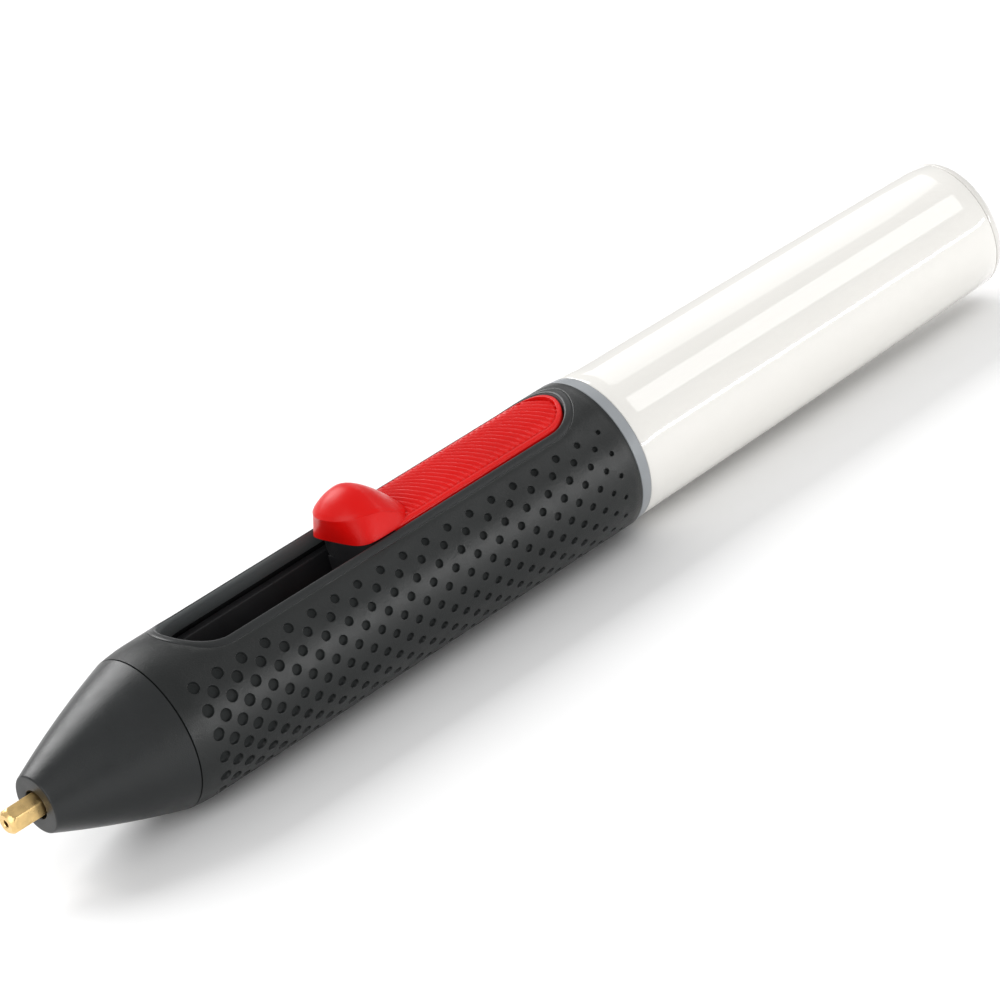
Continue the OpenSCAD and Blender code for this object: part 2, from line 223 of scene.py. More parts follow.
def moulded(name, colour, rough, grain, depth, spread, coat=0.0, specular=0.5):
    """Moulded plastic or rubber: a fine eroded grain, uneven polish and a faint drift of colour."""
    paint = Paint(name)
    fine = paint.noise(grain, rough=0.6)
    waves = paint.noise(grain / 14)
    paint.set(
        Base_Color=mottled(paint, colour, spread, 60.0),
        Roughness=paint.range(waves, rough * 0.88, rough * 1.12),
        Specular_IOR_Level=specular,
        Coat_Weight=coat,
        Coat_Roughness=0.06,
        Normal=paint.bump(fine, depth),
    )
    return paint.material


def turned_metal(name, colour, rough):
    """Metal with fine tool marks round the pen's axis, and a little tarnish."""
    marks, mark_depth, tarnish = 26000.0, 0.000002, 0.12
    paint = Paint(name)
    rings = paint.noise(1.0, place=paint.stretched((marks, 60.0, 60.0)))
    cloud = paint.noise(900.0, 3.0)
    paint.set(
        Base_Color=mottled(paint, colour, tarnish, 700.0),
        Metallic=1.0,
        Roughness=paint.range(cloud, rough * 0.8, rough * 1.3),
        Normal=paint.bump(rings, mark_depth),
    )
    return paint.material


CELL_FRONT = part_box("battery_cell_front")[0].x     # where the front cell begins, in metres
CELL_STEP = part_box("battery_cell_rear")[0].x - CELL_FRONT
BAND_END = 0.0118                                  # where a cell's copper band ends, in metres from its front


def cell_can(name, colour):
    """A cell's printed sleeve: plain, with a copper-coloured band at the positive end of each cell."""
    paint = Paint(name)
    along = paint.add("ShaderNodeSeparateXYZ", {"Vector": paint.place}).outputs["X"]
    from_front = paint.add("ShaderNodeMath", {0: along, 1: CELL_FRONT}, operation="SUBTRACT").outputs[0]
    within = paint.add("ShaderNodeMath", {0: from_front, 1: CELL_STEP}, operation="MODULO").outputs[0]
    band = paint.range(within, 1.0, 0.0, BAND_END, BAND_END + 0.0001)
    copper = rgb((0.72, 0.34, 0.14))
    paint.set(
        Base_Color=paint.mix(band, mottled(paint, colour, 0.1, 300.0), copper),
        Metallic=0.55,
        Roughness=paint.range(paint.noise(500.0), 0.24, 0.34),
        Coat_Weight=0.5,
        Coat_Roughness=0.1,
        Normal=paint.bump(paint.noise(1500.0), 0.000006),
    )
    return paint.material


def circuit_green(name, colour):
    """Solder mask over copper tracks, which show as slightly lighter, raised lines."""
    black, white = (0, 0, 0, 1), (1, 1, 1, 1)
    paint = Paint(name)
    grid = paint.add("ShaderNodeTexBrick", {"Vector": paint.stretched((1.0, 1.0, 1.0)), "Scale": 420.0,
        "Mortar Size": 0.09, "Mortar Smooth": 0.3, "Color1": black, "Color2": black,
        "Mortar": white}).outputs["Color"]
    tracks = paint.mix(paint.range(paint.noise(350.0, 1.0), 0.0, 1.0, 0.45, 0.5), black, grid)
    paint.set(
        Base_Color=paint.mix(tracks, rgb(colour, 0.8), rgb(colour, 2.2)),
        Roughness=0.32,
        Coat_Weight=0.4,
        Normal=paint.bump(tracks, 0.00003),
    )
    return paint.material


def clear(name, colour):
    """A cloudy light pipe."""
    paint = Paint(name)
    paint.set(
        Base_Color=mottled(paint, colour, 0.05, 800.0),
        Roughness=paint.range(paint.noise(2500.0), 0.2, 0.35),
        Transmission_Weight=0.5,
        IOR=1.5,
    )
    return paint.material


# moulded() takes a colour, a roughness, a grain, the grain's depth in metres and how far the colour drifts
MATERIALS = {
    "brass": turned_metal("brass", (0.86, 0.60, 0.26), 0.3),
    "black_nylon": moulded("black_nylon", (0.015, 0.0165, 0.017), 0.33, 5200.0, 0.00003, 0.12, specular=0.34),
    "grip_rubber": moulded("grip_rubber", (0.009, 0.0105, 0.0105), 0.38, 4200.0, 0.00004, 0.15,
        specular=0.38),
    # painted shade: a duller, less reflective copy of grip_rubber for the deep faces inside the dimples
    "grip_well_painted_shade": moulded("grip_well_painted_shade", (0.015, 0.017, 0.017), 0.55, 4200.0, 0.00004, 0.15, specular=0.14),
    # painted light: a lighter copy of black_nylon for the slot's inner wall, standing for light that falls on
    # it
    "slot_wall_painted_light": moulded("slot_wall_painted_light", (0.12, 0.13, 0.132), 0.45, 5200.0, 0.00003, 0.12, specular=0.3),
    "black_inner": moulded("black_inner", (0.010, 0.010, 0.011), 0.5, 5200.0, 0.00003, 0.15, specular=0.35),
    "red_plastic": moulded("red_plastic", (0.62, 0.0035, 0.0025), 0.32, 5200.0, 0.00003, 0.05, specular=0.22),
    "ring_grey": moulded("ring_grey", (0.27, 0.285, 0.30), 0.36, 7000.0, 0.00001, 0.04, specular=0.25),
    "white_gloss": moulded("white_gloss", (0.755, 0.74, 0.705), 0.07, 900.0, 0.000002, 0.008, coat=0.6),
    "cap_white": moulded("cap_white", (0.66, 0.645, 0.615), 0.16, 900.0, 0.000004, 0.01, coat=0.4),
    "light_pipe": clear("light_pipe", (0.75, 0.85, 0.78)),
    "aluminium_block": turned_metal("aluminium_block", (0.68, 0.69, 0.71), 0.3),
    "copper_band": turned_metal("copper_band", (0.72, 0.36, 0.2), 0.3),
    "ceramic_sleeve": moulded("ceramic_sleeve", (0.80, 0.77, 0.68), 0.75, 2600.0, 0.00006, 0.08),
    "silicone": moulded("silicone", (0.30, 0.06, 0.035), 0.55, 2600.0, 0.00003, 0.1),
    "spring_steel": turned_metal("spring_steel", (0.62, 0.63, 0.65), 0.24),
    "cell_can": cell_can("cell_can", (0.05, 0.24, 0.14)),
    "board_green": circuit_green("board_green", (0.006, 0.06, 0.024)),
    "chip_black": moulded("chip_black", (0.015, 0.015, 0.016), 0.45, 5000.0, 0.00003, 0.1),
    "lead_red": moulded("lead_red", (0.55, 0.02, 0.015), 0.45, 3000.0, 0.00002, 0.06),
}


# ---- mesh building ----


class Shape:
    """Points in pen millimetres and faces over them, gathered before they become one piece."""

    def __init__(self):
        self.points, self.faces = [], []

    def add(self, points):
        """Adds points and returns their numbers."""
        start = len(self.points)
        self.points += [tuple(p) for p in points]
        return list(range(start, len(self.points)))

    def skin(self, rows, closed=True):
        """Quads between each row of numbered points and the next. Closed rows join their ends."""
        for first, second in zip(rows, rows[1:]):
            count = len(first)
            for i in range(count if closed else count - 1):
                j = (i + 1) % count
                self.faces.append((first[i], first[j], second[j], second[i]))

    def cap(self, row):
        """One face over a row of numbered points."""
        self.faces.append(tuple(row))

    def loft(self, rows, capped=False):
        """Adds rows of points and skins them, with a face over each end if capped. Returns their numbers."""
        numbered = [self.add(row) for row in rows]
        self.skin(numbered)
        if capped:
            self.cap(numbered[0])
            self.cap(numbered[-1])
        return numbered

    def fill(self, numbers, places, loops, keep=lambda face: True):
        """Delaunay triangles over numbered points that lie at flat places, with every loop's edges in them.
        Loops and faces count along the two lists, and keep(face) says which triangles stay."""
        edges = [(a, b) for loop in loops for a, b in zip(loop, loop[1:] + loop[:1])]
        flat = [Vector(place) for place in places]
        _, _, faces, sources, _, _ = geometry.delaunay_2d_cdt(flat, edges, [], 0, 1e-6)
        for face in faces:
            corners = [sources[i][0] for i in face]
            if keep(corners):
                self.faces.append(tuple(numbers[i] for i in corners))


def piece(name, shape, body, slot, nodes=(), sharp=38.0, second=None, is_second=None):
    """Makes a shape one piece of the pen, on a body, with a slot's material, standing for CAD nodes.
    Faces for which is_second(centre in millimetres) holds take the material of the slot called second."""
    mesh = bpy.data.meshes.new(name)
    mesh.from_pydata([at(*p) for p in shape.points], [], shape.faces)
    work = bmesh.new()
    work.from_mesh(mesh)
    bmesh.ops.remove_doubles(work, verts=work.verts, dist=1e-7)
    bmesh.ops.dissolve_degenerate(work, edges=work.edges, dist=1e-7)
    bmesh.ops.recalc_face_normals(work, faces=work.faces)
    if is_second:
        for face in work.faces:
            c = face.calc_center_median()
            if is_second((c.x - tip_x) / MM, c.y / MM, height(c.z)):
                face.material_index = 1
    work.to_mesh(mesh)
    work.free()
    mesh.shade_smooth()
    mesh.set_sharp_from_angle(angle=math.radians(sharp))
    mesh.materials.append(MATERIALS[slot])
    if second:
        mesh.materials.append(MATERIALS[second])
    made = bpy.data.objects.new(name, mesh)
    bpy.context.scene.collection.objects.link(made)
    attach(made, body)
    if nodes:
        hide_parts(*nodes)


def rounded(corners, steps):
    """A path through corners given as (a, b, radius). A corner with a radius becomes an arc."""
    path = []
    for i, (a, b, radius) in enumerate(corners):
        here = Vector((a, b))
        if radius <= 0 or i in (0, len(corners) - 1):
            path.append((a, b))
            continue
        before = (Vector(corners[i - 1][:2]) - here).normalized()
        after = (Vector(corners[i + 1][:2]) - here).normalized()
        half = math.acos(max(-1.0, min(1.0, before.dot(after)))) / 2
        reach_back = radius / math.tan(half)
        start, end = here + before * reach_back, here + after * reach_back
        centre = here + (before + after).normalized() * (radius / math.sin(half))
        for k in range(steps + 1):
            mid = start.lerp(end, k / steps) - centre
            path.append(tuple(centre + mid.normalized() * radius))
    return path


def arc(sweep, steps):
    """The turns from nothing to a sweep, in even steps."""
    return [sweep * i / steps for i in range(steps + 1)]


def on_round(x, r, turn, z=0.0):
    """A place at a radius from the axis, or from a line z above it, turned from the top."""
    return (x, r * math.sin(turn), z + r * math.cos(turn))


def ring(x, r, count, z=0.0):
    """Points round the axis, or round a line z above it, starting at the bottom."""
    return [on_round(x, r, 2 * math.pi * i / count - math.pi, z) for i in range(count)]


def turned(path, count, z=0.0, closed=True):
    """A solid of revolution from (x, r) points; closed joins its last point to its first."""
    shape = Shape()
    least_r = 0.0005                # a row on the axis shrinks to this
    rows = [ring(x, max(r, least_r), count, z) for x, r in path]
    if closed:
        rows.append(rows[0])
    shape.loft(rows)
    return shape


# ---- grip sleeve with its dimples ----

ROW_TURN = math.radians(8.77)      # between rows of dimples, round the axis
FIRST_ROW = math.radians(50.7)     # from the top of the pen to the first row
ROWS = 15
COLUMNS = 19
FIRST_COLUMN = 4.49                # from the seam to the first column
COLUMN_STEP = 4.82                 # between columns, at the front
COLUMN_DRAW = 0.00725              # how the columns draw together towards the rear
DIMPLE_SIDES = 18
DIMPLE_RIM = 0.1                   # how far out the flat ring round a dimple goes, to keep its edge crisp
# a dimple's wall, from its edge down to its floor: how far outside its radius, and how deep
DIMPLE_WALL = ((0.045, 0.0), (0.01, 0.03), (-0.02, 0.12), (-0.045, 0.46), (-0.1, 0.52))
DIMPLE_FLOOR = 0.55                # its flat floor is smaller by this much of its radius
DIMPLE_DEPTH = 0.54
SLOT_EDGE = 0.2                    # where the sleeve's surface turns in at the slot, outside the bezel
SLEEVE_TURNS = [turn - math.pi for turn in arc(2 * math.pi, 144)]


def column_x(j):
    """Where a dimple's column lies."""
    return seam_x + FIRST_COLUMN + COLUMN_STEP * j - COLUMN_DRAW * j * j


def dimple_r(x):
    """The dimples shrink quickly behind the nose, slowly along the grip, and fade out before the ring."""
    least, extra, shrink_x, shrink_length = 0.68, 0.36, 36.0, 22.0
    last_x, fade_length, last_size = ring_x - 3.0, 9.0, 0.62
    size = least + extra * math.exp(-(max(0.0, x - shrink_x) / shrink_length) ** 1.2)
    return size * min(1.0, last_size + (1 - last_size) * (last_x - x) / fade_length)


def dimples():
    """Every dimple as (x, turn from the top, radius). Every other row is half a column further back."""
    found = []
    for side in (-1, 1):
        for row in range(ROWS):
            odd = row % 2
            for column in range(COLUMNS - odd):
                x = column_x(column + 0.5 * odd)
                found.append((x, side * (FIRST_ROW + ROW_TURN * row), dimple_r(x)))
    return found


def on_grip(x, turn, depth=0.0):
    """A place on the grip at a turn from the top, sunk by a depth."""
    return on_round(x, grip_r(x) - depth, turn)


def dimple_ring(x, turn, r):
    """The (x, turn) places on a circle round a dimple's middle."""
    sides = [2 * math.pi * i / DIMPLE_SIDES for i in range(DIMPLE_SIDES)]
    return [(x + r * math.cos(a), turn + r * math.sin(a) / widest_r) for a in sides]


def stadium(x0, x1, w, out):
    """A round-ended outline in plan, pushed outwards: from the front of one side, all the way round."""
    steps, side_step = 24, 1.5
    x0, x1, w = x0 - out, x1 + out, w + out
    front, rear = x0 + w, x1 - w
    straight = max(1, round((rear - front) / side_step))
    side = [front + (rear - front) * i / straight for i in range(straight)]
    turns = [math.pi * i / steps for i in range(steps)]
    path = [(x, -w) for x in side]
    path += [(rear + w * math.sin(a), -w * math.cos(a)) for a in turns]
    path += [(front + rear - x, w) for x in side]
    path += [(front - w * math.sin(a), w * math.cos(a)) for a in turns]
    return path


def bezel_line(out):
    """The bezel's outer outline in plan, pushed outwards."""
    return stadium(bezel_x0, bezel_x1, slot_w + bezel_w, out)


def in_bezel(x, y, out):
    """Whether a place in plan lies within the bezel's outer outline, pushed outwards."""
    w = slot_w + bezel_w
    nearest = min(max(x, bezel_x0 + w), bezel_x1 - w)
    return math.hypot(x - nearest, y) < w + out


def slot_line(out):
    """The bezel's outline, pushed outwards, as (x, turn) places on the grip."""
    return [(x, math.asin(y / grip_r(x))) for x, y in bezel_line(out)]


def over_slot(shape, numbers, out):
    """Whether the middle of some numbered points is over the slot."""
    middle = sum((Vector(shape.points[i]) for i in numbers), Vector()) / len(numbers)
    return middle.z > 0 and in_bezel(middle.x, middle.y, out)


def sleeve_outside(shape):
    """The dimpled outer surface. Returns its front edge, its rear edge and its edge along the slot."""
    numbers = []                    # of each outside point in the shape
    places = []                     # where it lies on the unrolled grip
    owners = []                     # the dimple whose rim it is on, or None

    def put(x, turn, owner=None):
        """Adds an outside point, and returns where it stands in the lists."""
        numbers.extend(shape.add([on_grip(x, turn)]))
        places.append((x, turn * widest_r))
        owners.append(owner)
        return len(numbers) - 1

    pits = dimples()
    for owner, (x, turn, r) in enumerate(pits):
        rim = [put(*place, owner) for place in dimple_ring(x, turn, r + DIMPLE_RIM)]
        rows = [[numbers[i] for i in rim]]
        for out, depth in DIMPLE_WALL + ((-DIMPLE_FLOOR * r, DIMPLE_DEPTH),):
            rows.append(shape.add([on_grip(*place, depth) for place in dimple_ring(x, turn, r + out)]))
        shape.skin(rows)
        shape.cap(rows[-1])

    front = [put(seam_x + SEAM_EDGE, turn) for turn in SLEEVE_TURNS]
    rear = [put(ring_x - SEAM_EDGE, turn) for turn in SLEEVE_TURNS]
    slot = [put(x, turn) for x, turn in slot_line(SLOT_EDGE)]

    # a light grid of points, clear of the slot and of each dimple's rim
    spacing, slot_gap, rim_gap, near = 1.6, 0.7, 0.45, 2.0
    columns = int((ring_x - seam_x) / spacing)
    for i in range(1, columns):
        x = seam_x + (ring_x - seam_x) * i / columns
        close = [pit for pit in pits if abs(pit[0] - x) < near]
        for turn in SLEEVE_TURNS[::2]:
            if math.cos(turn) > 0 and in_bezel(x, grip_r(x) * math.sin(turn), slot_gap):
                continue
            if any((x - px) ** 2 + ((turn - pt) * widest_r) ** 2 < (r + DIMPLE_RIM + rim_gap) ** 2
                    for px, pt, r in close):
                continue
            put(x, turn)

    def keep(face):
        in_dimple = len({owners[i] for i in face}) == 1 and owners[face[0]] is not None
        return not in_dimple and not over_slot(shape, [numbers[i] for i in face], SLOT_EDGE - 0.03)

    shape.fill(numbers, places, [slot], keep)
    return [[numbers[i] for i in edge] for edge in (front, rear, slot)]


def sleeve_slot(shape, edge):
    """The wall round the slot, from the outer surface down to the sleeve's inside. Returns its inner edge."""
    rows = [edge]
    for out, depth in ((0.06, 0.05), (0.0, 0.2)):
        rows.append(shape.add([on_grip(x, turn, depth) for x, turn in slot_line(out)]))
    rows.append(shape.add([on_round(x, sleeve_in, math.asin(y / sleeve_in)) for x, y in bezel_line(0.0)]))
    shape.skin(rows)
    return rows[-1]


def sleeve_end(shape, edge, x, inward):
    """An end of the sleeve, stepped back for the groove at its seam. Returns its inner edge."""
    r = grip_r(x)
    rows = [edge]
    for gap, row_r in [(gap, r - depth) for gap, depth in SEAM_GROOVE] + [(0.0, sleeve_in)]:
        rows.append(shape.add([on_round(x + inward * gap, row_r, turn) for turn in SLEEVE_TURNS]))
    shape.skin(rows, closed=False)
    return rows[-1]


def sleeve_inside(shape, slot, ends):
    """The smooth inside, between the slot's inner edge and the two ends' inner edges."""
    inside = slot + ends[0] + ends[1]
    rings, slot_gap = 12, 0.8
    for i in range(1, rings):
        x = seam_x + (ring_x - seam_x) * i / rings
        row = [on_round(x, sleeve_in, turn) for turn in SLEEVE_TURNS]
        inside += shape.add([p for p in row if p[2] <= 0 or not in_bezel(p[0], p[1], slot_gap)])

    places = []
    for i in inside:
        x, y, z = shape.points[i]
        places.append((x, math.atan2(y, z) * sleeve_in))

    def keep(face):
        return not over_slot(shape, [inside[i] for i in face], -0.05)

    shape.fill(inside, places, [list(range(len(slot)))], keep)


def grip_sleeve():
    """The rubber sleeve, with painted shade in its dimples: a duller, less reflective copy of the rubber."""
    shape = Shape()
    front, rear, slot = sleeve_outside(shape)
    inner_slot = sleeve_slot(shape, slot)
    inner_front = sleeve_end(shape, front, seam_x, 1)
    inner_rear = sleeve_end(shape, rear, ring_x, -1)
    sleeve_inside(shape, inner_slot, (inner_front, inner_rear))

    # the deep faces inside the dimples, which take the painted shade
    def in_well_painted_shade(x, y, z):
        deep = sleeve_in + 0.3 < math.hypot(y, z) < grip_r(x) - 0.3
        return deep and seam_x + 1 < x < ring_x - 1 and not in_bezel(x, y, 0.1)

    piece("grip_sleeve_dimpled", shape, "front_half", "grip_rubber", ["grip_sleeve"], sharp=50,
        second="grip_well_painted_shade", is_second=in_well_painted_shade)


grip_sleeve()


# ---- nozzle and nose ----


def nozzle():
    """A hexagonal brass nozzle with a turned, tapered tip and a round shank inside the nose."""
    flat = 2.0                      # from the axis to each flat of the hexagon
    shank_r, corner_r = 2.4, 2.29   # the shank, and the hexagon's turned corners
    bore_r, bore_end, mouth_r = 0.6, 3.2, 0.74
    shank_x = nose_x0 + 1.2
    count = 96
    bore = [(bore_end, bore_r), (0.16, bore_r), (0.04, 0.68), (0.0, mouth_r)]
    tip = [(0.0, 1.5), (0.06, 1.58), (0.5, 1.98), (0.62, 2.06), (0.95, 2.24), (1.15, corner_r)]
    shank = [(shank_x - 0.1, corner_r), (shank_x, corner_r), (shank_x + 0.04, shank_r),
        (nose_x0 + 4.0, shank_r)]
    rows = []
    for x, turned_r in bore + tip + shank:
        row = []
        for a in [2 * math.pi * i / count for i in range(count)]:
            hexagon = flat / math.cos(a % (math.pi / 3) - math.pi / 6)
            r = turned_r if x > shank_x else min(hexagon, turned_r)
            row.append(on_round(x, r, a))
        rows.append(row)
    shape = Shape()
    shape.loft(rows, capped=True)
    piece("nozzle_turned", shape, "front_half", "brass", ["nozzle"], sharp=24)


def nose_cone():
    """The nose's swelling cone, with a flat front and a spigot that the grip slides over."""
    wall, hole, floor_x = 1.5, 2.45, nose_x0 + 1.7
    spigot_x, spigot_r, spigot_wall = seam_x + 4, sleeve_in - 0.05, 1.2
    count = 26
    cone_x0, cone_x1 = nose_x0 + 0.7, seam_x - SEAM_EDGE
    cone = [(x, nose_r(x)) for x in [cone_x0 + (cone_x1 - cone_x0) * i / count for i in range(count + 1)]]
    face_edge = rounded([(floor_x, hole, 0), (nose_x0, hole, 0.2), (nose_x0, nose_face_r, 0.4),
        (*cone[0], 0)], 6)
    groove = [(seam_x - gap, seam_r - depth) for gap, depth in SEAM_GROOVE]
    spigot = [(seam_x, spigot_r), (spigot_x, spigot_r), (spigot_x, spigot_r - spigot_wall)]
    inner = [(x, r - wall) for x, r in reversed(cone[2:-1])]
    path = face_edge[:-1] + cone + groove + spigot + inner + [(floor_x, nose_face_r - 1.2)]
    piece("nose_cone_shell", turned(path, 144), "front_half", "black_nylon", ["nose_cone"], sharp=50)


nozzle()
nose_cone()


# ---- slot: bezel and glue trough ----


def bezel():
    """The frame round the slot, flush with the grip, with a rounded lip and a guide groove under its wall."""
    guide_z, guide_w, under_z = deck_z + 0.8, 0.7, deck_z + 0.05
    # from the outer edge over the top to the slot's wall: how far outside the slot, and below the grip
    top = ((bezel_w, 1.5), (bezel_w, 0.18), (bezel_w - 0.04, 0.06), (bezel_w - 0.14, 0.0),
        (bezel_w - 0.5, -0.02), (0.5, -0.02), (0.32, 0.02), (0.18, 0.09), (0.07, 0.22), (0.0, 0.42))
    # down the wall and round the groove: how far outside the slot, and the height
    wall = ((0.0, guide_z + 0.08), (0.08, guide_z), (guide_w, guide_z), (guide_w, under_z),
        (bezel_w, under_z))

    def line(out):
        return stadium(slot_x0, slot_x1, slot_w, out)

    rows = [[(x, y, grip_z(x, y) - drop) for x, y in line(out)] for out, drop in top]
    rows += [[(x, y, z) for x, y in line(out)] for out, z in wall]
    rows.append(rows[0])
    shape = Shape()
    shape.loft(rows)

    # the slot's inner wall, which takes the lighter copy of the nylon: painted light
    def in_slot_painted_light(x, y, z):
        return in_bezel(x, y, 0.04 - bezel_w) and z < grip_z(x, y) - 0.3

    piece("slot_bezel_lip", shape, "front_half", "black_nylon", ["slot_bezel"], sharp=50,
        second="slot_wall_painted_light", is_second=in_slot_painted_light)


def mirrored(section):
    """The other half of a section across the pen, given as (y, z) points."""
    return [(-y, z) for y, z in reversed(section)]


def trough():
    """The glue trough: two ledges over a round-bottomed groove, then a solid deck, then a thin plate."""
    x0, x1 = span("feed_trough")
    groove_x1, deck_x1 = 85.0, 88.0
    half, low = 8.3, -5.6
    deck_half, chamfer, plate = 7.24, 1.17, 1.2
    ledge, step_z, groove_r = 5.6, 3.0, 3.9
    side = [(-half, low), (-half, deck_z - chamfer), (-deck_half, deck_z)]
    lip = [(-ledge - 0.2, deck_z), (-ledge - 0.08, deck_z - 0.04), (-ledge, deck_z - 0.16)]
    left = side + lip + [(-ledge, step_z), (-groove_r - 0.15, step_z), (-groove_r, step_z - 0.15)]
    groove = [(-groove_r * math.cos(a), -groove_r * math.sin(a)) for a in arc(math.pi, 24)]
    plate_side = [(-deck_half, deck_z - plate), (-deck_half, deck_z)]
    shape = Shape()
    for start, end, section in ((x0, groove_x1, left + groove + mirrored(left)),
            (groove_x1, deck_x1, side + mirrored(side)), (deck_x1, x1, plate_side + mirrored(plate_side))):
        shape.loft([[(x, y, z) for y, z in section] for x in (start, end)], capped=True)
    piece("feed_trough_moulded", shape, "front_half", "black_inner", ["feed_trough"])


bezel()
trough()


# ---- thumb slider ----

RIB_PITCH = 1.165
RIB_SLANT = 0.317                 # the ribs run back towards one side by this much for each millimetre across
RIB_HEIGHT = 0.42
CREST_X = slider_x0 + 5.45        # where the hump is highest
HUMP_X = slider_x0 + 7.3          # the middle of the hump's plan
HUMP_REAR = slider_x0 + 13.4      # where the hump's back has sunk into the pad
HUMP_SLANT = 0.12                 # how far the hump's plan leans, for each millimetre across
HUMP_CROWN = 0.098                # the dome falls to each side by this much times the distance squared
RIDGE_FRONT, RIDGE_SIDE = 7.6, 6.42       # the ridge's reach from the middle of the plan
FOOT_FRONT = 6.88                         # and the foot's
RIDGE_SQUARE, FOOT_SQUARE = 2.2, 5.0      # how square each outline is in front: 2 is an ellipse
PAD_X0 = slider_x0 + 7.0          # the pad begins here, under the hump
PAD_BORDER = 0.8
PAD_DROP = 0.15                   # how far its border lies below the grip's surface
PAD_FLOOR = 12.62                 # height of its ribs on the middle line
PAD_BEND = 48.0                   # the ribs fall to each side by the distance squared over this
RIBS_X0 = slider_x0 + 9.6         # and its ribs here
BACK_LOW = 12.0                   # the hump's back ends this high, inside the pad
hump_z = height(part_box("slider_cap")[1].z)
cap_under_z = height(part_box("slider_cap")[0].z)


def hump_top(x, y):
    """Height of the hump's dome: it falls ahead of its crest, more steeply behind, and towards its sides."""
    if x < CREST_X:
        fall = 3.75 * ((CREST_X - x) / 6) ** 2.3
    else:
        fall = 7.6 * ((x - CREST_X) / 8) ** 1.45
    return max(BACK_LOW, hump_z - fall - HUMP_CROWN * y * y)


def lip_z(x, y):
    """The pad's border follows the grip's own surface, a little lower."""
    return math.sqrt((grip_r(min(x, slider_x1)) - PAD_DROP) ** 2 - y * y)


def hump_line(front, side, square):
    """The hump's outline in plan: a squared-off oval in front of its middle, and a rounder one behind."""
    count = 120
    points = []
    for i in range(count):
        a = 2 * math.pi * i / count
        ahead, back = max(0.0, math.cos(a)), max(0.0, -math.cos(a))
        if back == 0.0:
            r = ((ahead / front) ** square + (abs(math.sin(a)) / side) ** square) ** (-1 / square)
        else:
            r = side + (HUMP_REAR - HUMP_X - side) * back ** 1.6
        points.append((HUMP_X - r * math.cos(a), r * math.sin(a)))
    return points


def leaning(x, y, z):
    """The hump's plan leans like the ribs behind it, less and less towards its rear."""
    return (x - HUMP_SLANT * y * min(1.0, max(0.0, (HUMP_REAR + 2 - x) / 8)), y, z)


def hump():
    """The raised front of the slider: a steep wall up to a crisp ridge, and a dome inside it."""
    foot = [(x, y, cap_under_z + 0.02) for x, y in hump_line(FOOT_FRONT, slider_w - 0.02, FOOT_SQUARE)]
    ridge = [(x, y, hump_top(x, y)) for x, y in hump_line(RIDGE_FRONT, RIDGE_SIDE, RIDGE_SQUARE)]

    def wall(up, fall=0.0, inset=0.0):
        """A row part of the way up from foot to ridge, lowered and moved inwards a little."""
        row = []
        for low, high in zip(foot, ridge):
            p = Vector(low).lerp(Vector(high), up)
            inward = Vector((HUMP_X - p.x, -p.y, 0)).normalized() * inset
            row.append((p.x + inward.x, p.y + inward.y, p.z - fall))
        return row

    rows = [wall(0.0), wall(0.35), wall(0.7), wall(0.9), wall(0.97, 0.05, -0.02), wall(1.0, 0.14, 0.0),
        wall(1.0, 0.04, 0.09)]
    for size in (0.965, 0.93, 0.88, 0.8, 0.7, 0.6, 0.5, 0.4, 0.3, 0.2, 0.1, 0.03):
        plan = [(HUMP_X + (x - HUMP_X) * size, y * size) for x, y, _ in ridge]
        rows.append([(x, y, hump_top(x, y)) for x, y in plan])
    shape = Shape()
    shape.loft([[leaning(*p) for p in row] for row in rows], capped=True)
    piece("slider_hump", shape, "slider", "red_plastic", sharp=36)


def pad_outline(out):
    """The pad's plan outline, pushed outwards: a front corner, one side, the round rear and back again."""
    w = slider_w + out
    rear = slider_x1 - slider_w
    corner_r, corner_steps, side_step, rear_steps = 1.6, 16, 0.4, 56
    side_x0 = PAD_X0 + corner_r
    side_steps = round((rear - side_x0) / side_step)
    turns = [math.pi / 2 * (corner_steps - i) / corner_steps for i in range(corner_steps)]
    corner = [(side_x0 - out - corner_r * math.sin(a), -w + corner_r - corner_r * math.cos(a)) for a in turns]
    side = [(side_x0 + (rear - side_x0) * i / side_steps, -w) for i in range(side_steps)]
    end = [(rear + w * math.sin(a), -w * math.cos(a)) for a in arc(math.pi, rear_steps)]
    return corner + side + end + [(x, -y) for x, y in reversed(corner + side)]


